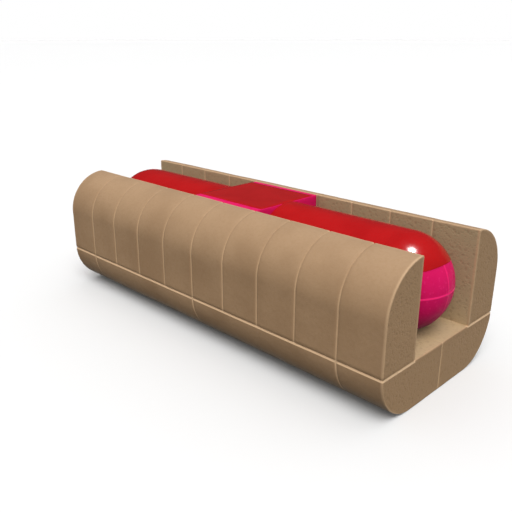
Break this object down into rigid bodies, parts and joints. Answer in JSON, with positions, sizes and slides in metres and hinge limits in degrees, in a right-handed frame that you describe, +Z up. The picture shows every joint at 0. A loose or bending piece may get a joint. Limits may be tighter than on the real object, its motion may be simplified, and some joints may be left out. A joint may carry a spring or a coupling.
{
  "type": "hot dog",
  "caption": "Hot dog: a round-ended sausage with a squared middle fills the slot of a soft bun from end to end, under a thin coat of ketchup.",
  "frame": {"origin": "under the middle of the bun, on the flat face that it rests on", "axes": "+X along the bun and the sausage, +Y across the slot, +Z up, out of the open side of the slot"},
  "size_m": [0.15, 0.06, 0.0455],
  "materials": {
    "bread": "matte tan bread with a fine crumb and paler creases",
    "sausage_meat": "moist bright pink sausage skin",
    "ketchup": "glossy red sauce"
  },
  "bodies": {
    "root": {"bun": "bread", "sausage": "sausage_meat", "ketchup": "ketchup"}
  },
  "joints": []
}
